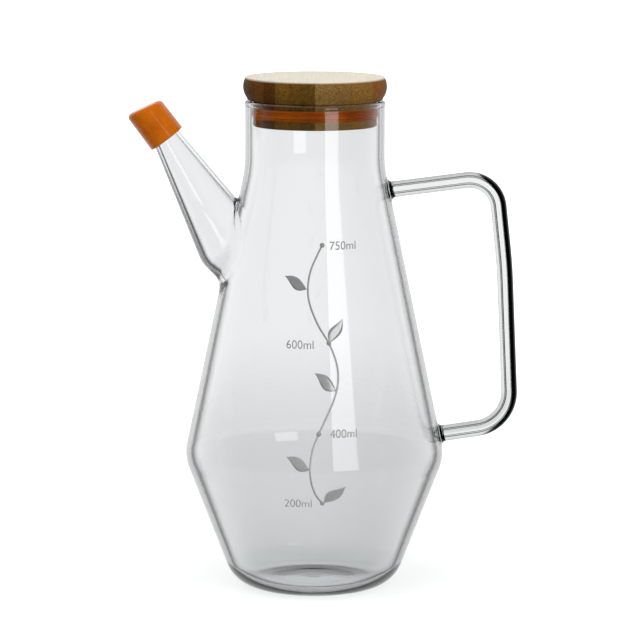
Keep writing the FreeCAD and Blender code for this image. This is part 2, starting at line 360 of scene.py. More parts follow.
def combined(base, tool, operation):
    """The base mesh with the tool mesh joined to it or cut from it."""
    scene = bpy.context.scene
    base_object = bpy.data.objects.new("base", base)
    tool_object = bpy.data.objects.new("tool", tool)
    scene.collection.objects.link(base_object)
    scene.collection.objects.link(tool_object)
    modifier = base_object.modifiers.new("combine", "BOOLEAN")
    modifier.operation = operation
    modifier.solver = "EXACT"
    modifier.material_mode = "TRANSFER"
    modifier.object = tool_object
    evaluated = base_object.evaluated_get(bpy.context.evaluated_depsgraph_get())
    result = bpy.data.meshes.new_from_object(evaluated)
    bpy.data.objects.remove(base_object)
    bpy.data.objects.remove(tool_object)
    return result


def outline_gap(outline, point):
    """How far a point is outside an outline, negative inside, and the way out of it."""
    nearest = None
    for start, end in zip(outline, outline[1:]):
        along = end - start
        share = min(max((point - start).dot(along) / along.length_squared, 0), 1)
        gap = point - start - along * share
        if nearest is None or gap.length_squared < nearest[0].length_squared:
            nearest = (gap, along)
    gap, along = nearest
    out = Vector((along.z, 0, -along.x)).normalized()
    if gap.length < 1e-8:
        return 0.0, out
    side = 1 if gap.dot(out) > 0 else -1
    return gap.length * side, gap.normalized() * side


def turned_gap(outline, place, back, point):
    """The same for a turned form, standing where the place matrix puts it."""
    local = back @ point
    radius = math.hypot(local.x, local.y)
    distance, out = outline_gap(outline, flat(radius, local.z))
    if radius > 1e-9:
        out = Vector((out.x * local.x / radius, out.x * local.y / radius, out.z))
    return distance, place.to_3x3() @ out


def rod_gap(path, point):
    """The same for the round rod along its path."""
    nearest = None
    for start, end in zip(path, path[1:]):
        along = end - start
        share = min(max((point - start).dot(along) / along.length_squared, 0), 1)
        gap = point - start - along * share
        if nearest is None or gap.length_squared < nearest.length_squared:
            nearest = gap
    return nearest.length - ROD_RADIUS, nearest.normalized()


def melted(first, second, weld):
    """Two gaps as one, with the hollow between the forms filled to a smooth weld."""
    share = min(max(0.5 + 0.5 * (second[0] - first[0]) / weld, 0), 1)
    distance = second[0] + (first[0] - second[0]) * share - weld * share * (1 - share)
    return distance, second[1].lerp(first[1], share)


def spout_weld(point):
    """The spout's weld is tight in the crotch above it and widens towards its foot."""
    share = min(max((SPOUT_HEIGHT + SPOUT_WELD_START - point.z) / SPOUT_WELD_SPREAD, 0), 1)
    return SPOUT_TOP_WELD + (SPOUT_FOOT_WELD - SPOUT_TOP_WELD) * share


def melt_joint(mesh, skins, near, reach, grain, passes):
    """Gives the mesh near a joint an even grain and lays it on the melted skins."""
    form = bmesh.new()
    form.from_mesh(mesh)
    bmesh.ops.remove_doubles(form, verts=form.verts, dist=HAIR)
    bmesh.ops.triangulate(form, faces=[face for face in form.faces if near(face.verts[0].co) < reach])
    for split_round in range(SPLIT_ROUNDS):
        inside = {vertex for vertex in form.verts if near(vertex.co) < reach}
        around = {edge for vertex in inside for edge in vertex.link_edges}
        short_edges = [edge for edge in around if edge.calc_length() < grain / 4]
        bmesh.ops.collapse(form, edges=short_edges, uvs=False)
        inside = {vertex for vertex in inside if vertex.is_valid}
        around = {
            edge
            for vertex in inside
            for edge in vertex.link_edges
            if edge.other_vert(vertex) in inside
        }
        long_edges = [edge for edge in around if edge.calc_length() > grain]
        bmesh.ops.subdivide_edges(form, edges=long_edges, cuts=1)
        bmesh.ops.triangulate(form, faces=[face for face in form.faces if len(face.verts) > 4])
        bmesh.ops.triangulate(form, faces=[face for face in form.faces if near(face.verts[0].co) < reach])
    gaps = {vertex: near(vertex.co) for vertex in form.verts}
    chosen = [vertex for vertex in form.verts if gaps[vertex] < reach]
    inner = [vertex for vertex in chosen if gaps[vertex] < reach * INNER_SHARE]
    homes = [min(skins, key=lambda skin: abs(skin(vertex.co, HAIR)[0])) for vertex in chosen]
    for smooth_pass in range(passes):
        bmesh.ops.smooth_vert(
            form, verts=inner, factor=0.5, use_axis_x=True, use_axis_y=True, use_axis_z=True
        )
        for vertex, skin in zip(chosen, homes):
            distance, out = skin(vertex.co, 0)
            vertex.co -= out * (distance / max(out.length_squared, 0.1))
    bmesh.ops.recalc_face_normals(form, faces=form.faces)
    form.to_mesh(mesh)
    form.free()


def stretch(outline, centre, reach):
    """The part of an outline whose height is within reach of a centre height."""
    return [point for point in outline if abs(point.z - centre) < reach]


def new_material(name):
    """A material with its nodes, its links and its Principled shader."""
    material = bpy.data.materials.new(name)
    material.use_nodes = True
    tree = material.node_tree
    return material, tree.nodes, tree.links, tree.nodes["Principled BSDF"]


def shader_math(nodes, links, operation, first, second=0.0, clamp=False):
    """A Math node fed by sockets or plain numbers."""
    node = nodes.new("ShaderNodeMath")
    node.operation = operation
    node.use_clamp = clamp
    for socket, value in zip(node.inputs, (first, second)):
        if isinstance(value, (int, float)):
            socket.default_value = value
        else:
            links.new(value, socket)
    return node.outputs["Value"]


def colour_mix(nodes, links, blend, factor, first, second):
    """A colour Mix node fed by sockets, plain colours or numbers."""
    node = nodes.new("ShaderNodeMix")
    node.data_type = "RGBA"
    node.blend_type = blend
    for name, value in (("Factor", factor), ("A", first), ("B", second)):
        if isinstance(value, (int, float, tuple)):
            node.inputs[name].default_value = value
        else:
            links.new(value, node.inputs[name])
    return node.outputs["Result"]


def ramp_of(nodes, links, value, stops):
    """A Color Ramp on a value, its stops given in order with a grey level or a colour."""
    ramp = nodes.new("ShaderNodeValToRGB")
    elements = ramp.color_ramp.elements
    elements.remove(elements[1])
    elements[0].position = stops[0][0]
    for stop in stops[1:]:
        elements.new(stop[0])
    for element, (place, level) in zip(elements, stops):
        element.color = (*level, 1) if isinstance(level, tuple) else (level, level, level, 1)
    links.new(value, ramp.inputs["Fac"])
    return ramp.outputs["Color"]


def split_shader(material, nodes, links, factor, plain, other):
    """The material's surface: plain where the factor is 0, other where it is 1."""
    mix = nodes.new("ShaderNodeMixShader")
    links.new(factor, mix.inputs["Fac"])
    links.new(plain.outputs["BSDF"], mix.inputs[1])
    links.new(other.outputs["BSDF"], mix.inputs[2])
    links.new(mix.outputs["Shader"], nodes["Material Output"].inputs["Surface"])
    return material


def clear_glass(name, edge, right_edge_shade=None, left_edge_shade=None, blend=(0.14, 0.26)):
    """Clear glass whose colour is darkened where it is seen at a slant: painted shade standing in for
    the dark sides of a room that its rays would bend towards. The painted shade can differ where the skin
    faces +X or -X."""
    material, nodes, links, glass = new_material(name)
    glass.inputs["Roughness"].default_value = 0.0
    glass.inputs["IOR"].default_value = GLASS_IOR
    glass.inputs["Transmission Weight"].default_value = 1.0
    slant = nodes.new("ShaderNodeLayerWeight")
    slant.inputs["Blend"].default_value = 0.5
    geometry = nodes.new("ShaderNodeNewGeometry")
    side = nodes.new("ShaderNodeSeparateXYZ")
    links.new(geometry.outputs["True Normal"], side.inputs["Vector"])
    # painted shade: the glass colour darkens with slant, through the edge ramp
    level = ramp_of(nodes, links, slant.outputs["Facing"], edge)
    # painted shade that differs where the skin faces +X or -X
    for side_edge_shade, way in ((right_edge_shade, 1), (left_edge_shade, -1)):
        if not side_edge_shade:
            continue
        turned = shader_math(nodes, links, "MULTIPLY_ADD", geometry.outputs["Backfacing"], -2 * way)
        turned.node.inputs[2].default_value = way
        facing = shader_math(nodes, links, "MULTIPLY", side.outputs["X"], turned)
        share = ramp_of(nodes, links, facing, ((blend[0], 0.0), (blend[1], 1.0)))
        side_painted_shade = ramp_of(nodes, links, slant.outputs["Facing"], side_edge_shade)
        level = colour_mix(nodes, links, "MIX", share, level, side_painted_shade)
    # the painted shade times the glass's own tint
    shaded_tint = colour_mix(nodes, links, "MULTIPLY", 1.0, level, GLASS_TINT)
    links.new(shaded_tint, glass.inputs["Base Color"])
    passing = nodes.new("ShaderNodeBsdfTransparent")
    passing.inputs["Color"].default_value = GLASS_SHADOW
    shadow = nodes.new("ShaderNodeLightPath").outputs["Is Shadow Ray"]
    return split_shader(material, nodes, links, shadow, glass, passing)


def glass_pot(outer, inner, outer_spout, inner_spout, rod):
    """The glass mesh: the forms joined and hollowed, then melted at the joints."""
    path = handle_path()
    upright = Matrix.Identity(4)
    leaning = spout_placement()
    back = leaning.inverted()
    body = body_outside()
    hollow = body_inside()
    spout = spout_outline(0, 0, 0)
    bore = spout_outline(SPOUT_ROOT_WALL, SPOUT_WALL, NOZZLE_LENGTH)
    body_form = turned_mesh("body_form", body, BODY_SIDES)
    hollow_form = turned_mesh("body_hollow", hollow, BODY_SIDES)
    spout_form = turned_mesh("spout_form", spout, SPOUT_SIDES)
    bore_form = turned_mesh("spout_bore", bore, SPOUT_SIDES)
    rod_form = rod_mesh("handle_rod", path, ROD_RADIUS, ROD_SIDES)
    spout_form.transform(leaning)
    bore_form.transform(leaning)
    forms = (body_form, spout_form, hollow_form, bore_form, rod_form)
    for form, material in zip(forms, (outer, outer_spout, inner, inner_spout, rod)):
        form.materials.append(material)
    outside = combined(body_form, spout_form, "UNION")
    outside = combined(outside, rod_form, "UNION")
    inside = combined(hollow_form, bore_form, "UNION")
    glass = combined(outside, inside, "DIFFERENCE")
    glass.name = "pot_glass"

    body_part = stretch(body, SPOUT_HEIGHT, SPOUT_JOINT_HEIGHT)
    hollow_part = stretch(hollow, SPOUT_HEIGHT, SPOUT_JOINT_HEIGHT)
    spout_middle = leaning.translation

    def spout_skin(point, weld):
        pair = turned_gap(body_part, upright, upright, point), turned_gap(spout, leaning, back, point)
        return melted(*pair, weld or spout_weld(point))

    def bore_skin(point, weld):
        pair = turned_gap(hollow_part, upright, upright, point), turned_gap(bore, leaning, back, point)
        return melted(*pair, weld or spout_weld(point))

    def near_spout(point):
        if point.x > SPOUT_JOINT_SIDE or (point - spout_middle).length > SPOUT_JOINT_REACH:
            return FAR_OFF
        from_body = abs(turned_gap(body_part, upright, upright, point)[0])
        if from_body >= SPOUT_JOINT_SKIN:
            return FAR_OFF
        return max(from_body, abs(turned_gap(spout, leaning, back, point)[0]))

    def handle_skin(point, weld):
        pair = turned_gap(near_wall, upright, upright, point), rod_gap(near_path, point)
        return melted(*pair, weld or HANDLE_WELD)

    def hollow_skin(point, weld):
        return turned_gap(near_hollow, upright, upright, point)

    def near_rod_end(end):
        return lambda point: (point - end).length

    melt_joint(
        glass, (spout_skin, bore_skin), near_spout,
        SPOUT_MELT_REACH, SPOUT_MELT_GRAIN, SPOUT_MELT_PASSES,
    )
    for height in (HANDLE_TOP, HANDLE_FOOT):
        end = flat(wall_radius(height), height)
        near_wall = stretch(body, height, HANDLE_JOINT_HEIGHT)
        near_hollow = stretch(hollow, height, HANDLE_JOINT_HEIGHT)
        near_path = [point for point in path if (point - end).length < HANDLE_JOINT_REACH]
        melt_joint(
            glass, (handle_skin, hollow_skin), near_rod_end(end),
            HANDLE_MELT_REACH, HANDLE_MELT_GRAIN, HANDLE_MELT_PASSES,
        )
    return glass


# each glass skin gets its own painted shade, by slant and by side
outer_glass = clear_glass("glass_outside", OUTER_EDGE, OUTER_RIGHT_PAINTED_SHADE, None, (0.0, 0.85))
spout_glass = clear_glass("glass_spout", OUTER_EDGE, None, SPOUT_LEFT_PAINTED_SHADE)
inner_glass = clear_glass("glass_inside", INNER_EDGE)
bore_glass = clear_glass("glass_bore", BORE_EDGE, BORE_RIGHT_PAINTED_SHADE)
rod_glass = clear_glass("glass_rod", ROD_EDGE, ROD_OUTER_PAINTED_SHADE, ROD_INNER_PAINTED_SHADE)
pot_mesh = glass_pot(outer_glass, inner_glass, spout_glass, bore_glass, rod_glass)
pot_glass = add_piece("pot_glass", pot_mesh, None)
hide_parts("glass_pot")


# ---- the printed scale ------------------------------------------------------
# A vine in silvery grey enamel, printed on the front of the pot and fired on.  The
# berry at each bend of the stem is a filling mark, with its volume beside it.
# The print is a film a few hundredths of a millimetre thick on the glass.

STEM_WIDTH = 0.72
STEM_STEPS = 8
LEAF_WIDTH = 0.42
LEAF_LEAN = 0.85
LEAF_FULLNESS = 1.15
LEAF_SWAY = 0.035
LEAF_MESH = (17, 5)
BERRY_RADIUS = 0.95
BERRY_SIDES = 24
STEM_POINTS = (
    (3.0, 143.7), (0.9, 139.5), (-1.6, 133.5), (-2.6, 126.7), (-1.7, 120.3), (1.6, 112.5),
    (5.7, 105.8), (8.6, 98.7), (9.5, 91.7), (8.1, 84.8), (4.9, 77.4), (1.8, 70.8),
    (-0.6, 64.6), (-1.6, 57.5), (-1.0, 51.4), (0.8, 46.4), (3.3, 43.0),
)
LEAVES = (
    ((-3.1, 126.6), (-12.0, 131.6)),
    ((5.9, 105.9), (11.2, 115.2)),
    ((8.6, 87.3), (0.1, 94.3)),
    ((-1.7, 56.9), (-11.1, 61.9)),
    ((3.9, 43.3), (12.5, 50.0)),
)
VOLUMES = (
    ("750ml", (3.0, 143.7), 6.0, 141.8),
    ("600ml", (5.7, 105.8), -11.1, 103.6),
    ("400ml", (1.8, 70.8), 6.3, 69.2),
    ("200ml", (3.3, 43.0), -11.7, 41.3),
)
TEXT_WIDTH = 10.8
TEXT_HEIGHT = 3.3
TEXT_STEPS = 6
PRINT_LIFT = 0.02 * MM
PRINT_FILM = 0.03 * MM
# painted highlight: the print's grey goes from dark above to light towards the foot
PRINT_DARK = (0.37, 0.38, 0.37, 1)
PRINT_HIGHLIT = (0.56, 0.57, 0.57, 1)
PRINT_HIGHLIGHT_SPAN = (40 * MM, 125 * MM)


def eased(p, q, r, s, t):
    """Cubic piece from q to r at the share t, with p before them and s after."""
    bend = 2 * p - 5 * q + 4 * r - s
    twist = 3 * q - p - 3 * r + s
    return 0.5 * (2 * q + (r - p) * t + bend * t ** 2 + twist * t ** 3)


def smooth_through(points, steps):
    """A smooth line through the points, by cubic pieces."""
    line = []
    padded = [points[0]] + list(points) + [points[-1]]
    for four in zip(padded, padded[1:], padded[2:], padded[3:]):
        for step in range(steps):
            line.append(tuple(eased(*levels, step / steps) for levels in zip(*four)))
    line.append(points[-1])
    return line


def vine_tree(material):
    """Geometry Nodes: ribbon along the stem, a leaf and a berry on each marked point."""
    tree = bpy.data.node_groups.new("printed_vine", "GeometryNodeTree")
    face = tree.interface
    face.new_socket("Geometry", in_out="INPUT", socket_type="NodeSocketGeometry")
    for label in ("Stem Width", "Leaf Width", "Berry Radius"):
        face.new_socket(label, in_out="INPUT", socket_type="NodeSocketFloat")
    face.new_socket("Geometry", in_out="OUTPUT", socket_type="NodeSocketGeometry")
    nodes = tree.nodes
    links = tree.links
    link = links.new
    start = nodes.new("NodeGroupInput")
    end = nodes.new("NodeGroupOutput")

    def named(name):
        node = nodes.new("GeometryNodeInputNamedAttribute")
        node.data_type = "FLOAT"
        node.inputs["Name"].default_value = name
        return node.outputs["Attribute"]

    def picked(name):
        node = nodes.new("GeometryNodeSeparateGeometry")
        link(start.outputs["Geometry"], node.inputs["Geometry"])
        link(named(name), node.inputs["Selection"])
        return node.outputs["Selection"]

    def reckoned(operation, first, second=0.0):
        return shader_math(nodes, links, operation, first, second)

    stem = nodes.new("GeometryNodeMeshToCurve")
    link(picked("stem"), stem.inputs["Mesh"])
    upright = nodes.new("GeometryNodeSetCurveNormal")
    upright.mode = "Z_UP"
    link(stem.outputs["Curve"], upright.inputs["Curve"])
    width_line = nodes.new("GeometryNodeCurvePrimitiveLine")
    for socket, side in (("Start", -0.5), ("End", 0.5)):
        place = nodes.new("ShaderNodeCombineXYZ")
        link(reckoned("MULTIPLY", start.outputs["Stem Width"], side), place.inputs["X"])
        link(place.outputs["Vector"], width_line.inputs[socket])
    ribbon = nodes.new("GeometryNodeCurveToMesh")
    link(upright.outputs["Curve"], ribbon.inputs["Curve"])
    link(width_line.outputs["Curve"], ribbon.inputs["Profile Curve"])

    grid = nodes.new("GeometryNodeMeshGrid")
    grid.inputs["Size X"].default_value = 1
    grid.inputs["Size Y"].default_value = 1
    grid.inputs["Vertices X"].default_value = LEAF_MESH[0]
    grid.inputs["Vertices Y"].default_value = LEAF_MESH[1]
    position = nodes.new("GeometryNodeInputPosition")
    parts = nodes.new("ShaderNodeSeparateXYZ")
    link(position.outputs["Position"], parts.inputs["Vector"])
    along = reckoned("ADD", parts.outputs["X"], 0.5)
    swell = reckoned("SINE", reckoned("MULTIPLY", reckoned("POWER", along, LEAF_LEAN), math.pi))
    wave = reckoned("SINE", reckoned("MULTIPLY", along, 2 * math.pi))
    sway = reckoned("MULTIPLY", wave, LEAF_SWAY)
    fullness = reckoned("POWER", reckoned("MAXIMUM", swell, 0), LEAF_FULLNESS)
    width = reckoned("MULTIPLY", fullness, start.outputs["Leaf Width"])
    across = reckoned("ADD", reckoned("MULTIPLY", parts.outputs["Y"], width), sway)
    leaf_point = nodes.new("ShaderNodeCombineXYZ")
    link(along, leaf_point.inputs["X"])
    link(across, leaf_point.inputs["Y"])
    leaf = nodes.new("GeometryNodeSetPosition")
    link(grid.outputs["Mesh"], leaf.inputs["Geometry"])
    link(leaf_point.outputs["Vector"], leaf.inputs["Position"])
    turn = nodes.new("ShaderNodeCombineXYZ")
    link(named("turn"), turn.inputs["Z"])
    leaves = nodes.new("GeometryNodeInstanceOnPoints")
    link(picked("leaf"), leaves.inputs["Points"])
    link(leaf.outputs["Geometry"], leaves.inputs["Instance"])
    link(turn.outputs["Vector"], leaves.inputs["Rotation"])
    link(named("length"), leaves.inputs["Scale"])

    berry = nodes.new("GeometryNodeMeshCircle")
    berry.fill_type = "TRIANGLE_FAN"
    berry.inputs["Vertices"].default_value = BERRY_SIDES
    link(start.outputs["Berry Radius"], berry.inputs["Radius"])
    berries = nodes.new("GeometryNodeInstanceOnPoints")
    link(picked("berry"), berries.inputs["Points"])
    link(berry.outputs["Mesh"], berries.inputs["Instance"])

    join = nodes.new("GeometryNodeJoinGeometry")
    for piece in (berries.outputs["Instances"], leaves.outputs["Instances"], ribbon.outputs["Mesh"]):
        link(piece, join.inputs["Geometry"])
    real = nodes.new("GeometryNodeRealizeInstances")
    link(join.outputs["Geometry"], real.inputs["Geometry"])
    paint = nodes.new("GeometryNodeSetMaterial")
    paint.inputs["Material"].default_value = material
    link(real.outputs["Geometry"], paint.inputs["Geometry"])
    link(paint.outputs["Geometry"], end.inputs["Geometry"])
    return tree


def flat_vine(material):
    """The vine laid flat, in millimetres: X across the front of the pot, Y up it."""
    line = smooth_through(STEM_POINTS, STEM_STEPS)
    places = [(x, y, 0) for x, y in line]
    edges = [(index, index + 1) for index in range(len(line) - 1)]
    stem_count = len(places)
    places += [(base[0], base[1], 0) for base, tip in LEAVES]
    places += [(mark[0], mark[1], 0) for words, mark, left, foot in VOLUMES]
    mesh = bpy.data.meshes.new("vine_plan")
    mesh.from_pydata(places, edges, [])
    names = ("stem", "leaf", "berry", "turn", "length")
    for name in names:
        mesh.attributes.new(name, "FLOAT", "POINT")
    marks = {name: mesh.attributes[name].data for name in names}
    for index in range(stem_count):
        marks["stem"][index].value = 1
    for number, (base, tip) in enumerate(LEAVES):
        index = stem_count + number
        marks["leaf"][index].value = 1
        marks["turn"][index].value = math.atan2(tip[1] - base[1], tip[0] - base[0])
        marks["length"][index].value = math.hypot(tip[0] - base[0], tip[1] - base[1])
    for number in range(len(VOLUMES)):
        marks["berry"][stem_count + len(LEAVES) + number].value = 1
    plan = bpy.data.objects.new("vine_plan", mesh)
    bpy.context.scene.collection.objects.link(plan)
    modifier = plan.modifiers.new("vine", "NODES")
    modifier.node_group = vine_tree(material)
    sizes = {"Stem Width": STEM_WIDTH, "Leaf Width": LEAF_WIDTH, "Berry Radius": BERRY_RADIUS}
    for item in modifier.node_group.interface.items_tree:
        if item.name in sizes:
            modifier[item.identifier] = sizes[item.name]
    evaluated = plan.evaluated_get(bpy.context.evaluated_depsgraph_get())
    vine = bpy.data.meshes.new_from_object(evaluated)
    bpy.data.objects.remove(plan)
    return vine


def flat_words(words, left, foot):
    """A volume as a flat mesh in millimetres, with its left foot at the given place."""
    curve = bpy.data.curves.new("volume_text", "FONT")
    curve.body = words
    curve.resolution_u = TEXT_STEPS
    text = bpy.data.objects.new("volume_text", curve)
    bpy.context.scene.collection.objects.link(text)
    evaluated = text.evaluated_get(bpy.context.evaluated_depsgraph_get())
    mesh = bpy.data.meshes.new_from_object(evaluated)
    bpy.data.objects.remove(text)
    xs = [vertex.co.x for vertex in mesh.vertices]
    ys = [vertex.co.y for vertex in mesh.vertices]
    for vertex in mesh.vertices:
        vertex.co.x = left + (vertex.co.x - min(xs)) / (max(xs) - min(xs)) * TEXT_WIDTH
        vertex.co.y = foot + (vertex.co.y - min(ys)) / (max(ys) - min(ys)) * TEXT_HEIGHT
    return mesh


def outside_radius(height):
    """Outer radius of the finished glass at a height between foot and rim."""
    whole = rounded_line(BODY_CORNERS, BODY_ROUNDS)
    outline = [point for point in whole if point.x > HOLLOW_RADIUS]
    for low, high in zip(outline, outline[1:]):
        if low.z <= height <= high.z and high.z > low.z:
            return low.x + (high.x - low.x) * (height - low.z) / (high.z - low.z)
    return NECK_RADIUS


def printed_scale(material):
    """The vine and its volumes as one mesh, bent round the front of the body."""
    form = bmesh.new()
    form.from_mesh(flat_vine(material))
    for words, mark, left, foot in VOLUMES:
        form.from_mesh(flat_words(words, left, foot))
    bmesh.ops.triangulate(form, faces=form.faces)
    for face in form.faces:
        if face.normal.z < 0:
            face.normal_flip()
    heights = {round(vertex.co.y, 2) for vertex in form.verts}
    radii = {height: outside_radius(height * MM) for height in heights}
    for vertex in form.verts:
        radius = radii[round(vertex.co.y, 2)]
        angle = vertex.co.x * MM / radius
        reach = radius + PRINT_LIFT
        vertex.co = (reach * math.sin(angle), -reach * math.cos(angle), vertex.co.y * MM)
    mesh = bpy.data.meshes.new("printed_scale")
    form.to_mesh(mesh)
    form.free()
    return mesh


def ranged(nodes, links, value, start, end, low=0.0, high=1.0, smooth=False):
    """A Map Range node from start..end to low..high."""
    node = nodes.new("ShaderNodeMapRange")
    if smooth:
        node.interpolation_type = "SMOOTHSTEP"
    node.inputs["From Min"].default_value = start
    node.inputs["From Max"].default_value = end
    node.inputs["To Min"].default_value = low
    node.inputs["To Max"].default_value = high
    links.new(value, node.inputs["Value"])
    return node.outputs["Result"]


def noise(nodes, links, vector, factors, scale, detail):
    """Noise on coordinates, each axis multiplied by its own factor first."""
    mapping = nodes.new("ShaderNodeMapping")
    mapping.inputs["Scale"].default_value = factors
    links.new(vector, mapping.inputs["Vector"])
    texture = nodes.new("ShaderNodeTexNoise")
    texture.inputs["Scale"].default_value = scale
    texture.inputs["Detail"].default_value = detail
    links.new(mapping.outputs["Vector"], texture.inputs["Vector"])
    return texture.outputs["Fac"]


def grey_enamel():
    """Fired grey enamel, painted a little lighter towards the foot as a highlight where the soft light's
    reflection lies over the lower print.
    """
    material, nodes, links, enamel = new_material("grey_enamel")
    enamel.inputs["Roughness"].default_value = 0.15
    enamel.inputs["Metallic"].default_value = 0.45
    coordinates = nodes.new("ShaderNodeTexCoord").outputs["Object"]
    parts = nodes.new("ShaderNodeSeparateXYZ")
    links.new(coordinates, parts.inputs["Vector"])
    # painted highlight: lighter towards the foot, where the soft light's reflection lies over the print
    painted_highlight = ranged(nodes, links, parts.outputs["Z"], *PRINT_HIGHLIGHT_SPAN)
    grey = colour_mix(nodes, links, "MIX", painted_highlight, PRINT_HIGHLIT, PRINT_DARK)
    speckle = noise(nodes, links, coordinates, (1, 1, 1), 900, 3)
    grain = colour_mix(nodes, links, "SOFT_LIGHT", 0.25, grey, speckle)
    links.new(grain, enamel.inputs["Base Color"])
    return material


enamel_material = grey_enamel()
print_piece = add_piece("printed_scale", printed_scale(enamel_material), enamel_material)
film = print_piece.modifiers.new("film", "SOLIDIFY")
film.thickness = PRINT_FILM
film.offset = 1


# ---- the bamboo lid ---------------------------------------------------------
# A disc and a plug turned from one block of laminated bamboo: strips of
# different browns glued side by side, with the fibres running front to back.
# The lid drops into the neck and hangs from its disc, held by the ring.

STRIPS = (
    (-40.0, (0.115, 0.040, 0.004)), (-24.2, (0.140, 0.052, 0.005)), (-20.4, (0.088, 0.034, 0.004)),
    (-15.8, (0.150, 0.075, 0.010)), (-10.4, (0.125, 0.062, 0.008)), (-6.0, (0.105, 0.055, 0.008)),
    (-0.1, (0.215, 0.125, 0.035)), (7.2, (0.190, 0.108, 0.028)), (14.6, (0.225, 0.118, 0.026)),
    (22.6, (0.215, 0.085, 0.014)),
)
STRIP_SPAN = 40.0
STRIP_WAVER = 0.6 * MM
STRIP_DOTS = (0.62, 0.55, 0.5, 1)
# painted sheen: the pale colour given to the lid's top face
TOP_PAINTED_SHEEN = (0.80, 0.755, 0.64, 1)
LID_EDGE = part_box("bamboo_lid")[1].z


def raise_grain(nodes, links, height, shader, strength, distance):
    """A Bump node that raises the shader's surface by a height."""
    bump = nodes.new("ShaderNodeBump")
    bump.inputs["Strength"].default_value = strength
    bump.inputs["Distance"].default_value = distance
    links.new(height, bump.inputs["Height"])
    links.new(bump.outputs["Normal"], shader.inputs["Normal"])


def laminated_bamboo():
    """Strips across X, fibres along Y, dotted end grain on the round edge, and a painted pale sheen on
    the top.
    """
    material, nodes, links, wood = new_material("laminated_bamboo")
    coordinates = nodes.new("ShaderNodeTexCoord").outputs["Object"]
    parts = nodes.new("ShaderNodeSeparateXYZ")
    links.new(coordinates, parts.inputs["Vector"])
    waver = noise(nodes, links, coordinates, (1, 0.1, 0.6), 60, 2)
    wavered = shader_math(nodes, links, "MULTIPLY_ADD", waver, STRIP_WAVER)
    wavered.node.inputs[2].default_value = -STRIP_WAVER / 2
    across = shader_math(nodes, links, "ADD", parts.outputs["X"], wavered)
    place = ranged(nodes, links, across, -STRIP_SPAN * MM, STRIP_SPAN * MM)
    stops = [((start + STRIP_SPAN) / (2 * STRIP_SPAN), colour) for start, colour in STRIPS]
    strips = ramp_of(nodes, links, place, stops)
    strips.node.color_ramp.interpolation = "CONSTANT"

    fibres = noise(nodes, links, coordinates, (14, 0.5, 14), 90, 4)
    dots = noise(nodes, links, coordinates, (1, 0.25, 1), 2300, 2)
    dotted = ranged(nodes, links, dots, 0.42, 0.60)
    shade = ranged(nodes, links, fibres, 0.25, 0.75, 0.72, 1.22)
    grained = colour_mix(nodes, links, "MULTIPLY", 1.0, strips, shade)
    dark = colour_mix(nodes, links, "MULTIPLY", 1.0, grained, STRIP_DOTS)
    body = colour_mix(nodes, links, "MIX", dotted, dark, grained)

    # painted highlight: the top face is painted pale, for the light and sheen it shows
    top_sheen_mask = ranged(nodes, links, parts.outputs["Z"], LID_EDGE - 0.9 * MM, LID_EDGE - 0.05 * MM)
    sheen_strips = colour_mix(nodes, links, "MIX", 0.12, TOP_PAINTED_SHEEN, strips)
    pale = colour_mix(nodes, links, "MULTIPLY", 0.35, sheen_strips, shade)
    links.new(colour_mix(nodes, links, "MIX", top_sheen_mask, body, pale), wood.inputs["Base Color"])
    links.new(ranged(nodes, links, fibres, 0.0, 1.0, 0.42, 0.62), wood.inputs["Roughness"])
    wood.inputs["IOR"].default_value = 1.45
    wood.inputs["Specular IOR Level"].default_value = 0.06
    raise_grain(nodes, links, fibres, wood, 0.25, 0.1 * MM)
    return material


def repaint(node, material):
    """A CAD piece keeps its mesh and gets its finish."""
    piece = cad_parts[node]
    piece.data.materials.clear()
    piece.data.materials.append(material)


repaint("bamboo_lid", laminated_bamboo())


# ---- the seal ring ----------------------------------------------------------
# A moulded brown silicone ring with two lips, stretched into the groove round
# the plug.  Its lips bend against the glass and hold the lid in the neck.

RING_COLOUR = (0.370, 0.080, 0.001, 1)
RING_DEEP = (0.220, 0.040, 0.001, 1)


def silicone(name, pale, deep, roughness, glow, gloss, coat):
    """Cast silicone: cloudy through its depth, with a soft skin and a little dust."""
    material, nodes, links, rubber = new_material(name)
    coordinates = nodes.new("ShaderNodeTexCoord").outputs["Object"]
    cloud = noise(nodes, links, coordinates, (1, 1, 1), 70, 3)
    dust = noise(nodes, links, coordinates, (1, 1, 1), 1600, 2)
    cloudy = ranged(nodes, links, cloud, 0.35, 0.65)
    links.new(colour_mix(nodes, links, "MIX", cloudy, deep, pale), rubber.inputs["Base Color"])
    rubber.inputs["Subsurface Weight"].default_value = glow
    rubber.inputs["Subsurface Radius"].default_value = (1.0, 0.45, 0.08)
    rubber.inputs["Subsurface Scale"].default_value = 2.0 * MM
    rubber.inputs["IOR"].default_value = 1.41
    rubber.inputs["Specular IOR Level"].default_value = gloss
    rubber.inputs["Coat Weight"].default_value = coat
    rubber.inputs["Coat Roughness"].default_value = 0.04
    rubber.inputs["Coat IOR"].default_value = 1.5
    rough = ranged(nodes, links, dust, 0.0, 1.0, roughness, roughness + 0.14)
    links.new(rough, rubber.inputs["Roughness"])
    raise_grain(nodes, links, dust, rubber, 0.12, 0.05 * MM)
    return material


ring_silicone = silicone(
    "brown_silicone", RING_COLOUR, RING_DEEP, roughness=0.35, glow=0.25, gloss=0.04, coat=0.0
)
repaint("seal_ring", ring_silicone)


# ---- the spout cap ----------------------------------------------------------
# A soft amber silicone cap, moulded as a short closed tube with a slanted round
# end.  It is pushed over the nozzle of the spout and held by its own stretch.

CAP_COLOUR = (0.540, 0.135, 0.001, 1)
CAP_DEEP = (0.400, 0.085, 0.001, 1)

cap_silicone = silicone(
    "amber_silicone", CAP_COLOUR, CAP_DEEP, roughness=0.12, glow=0.30, gloss=0.3, coat=0.55
)
repaint("spout_cap", cap_silicone)


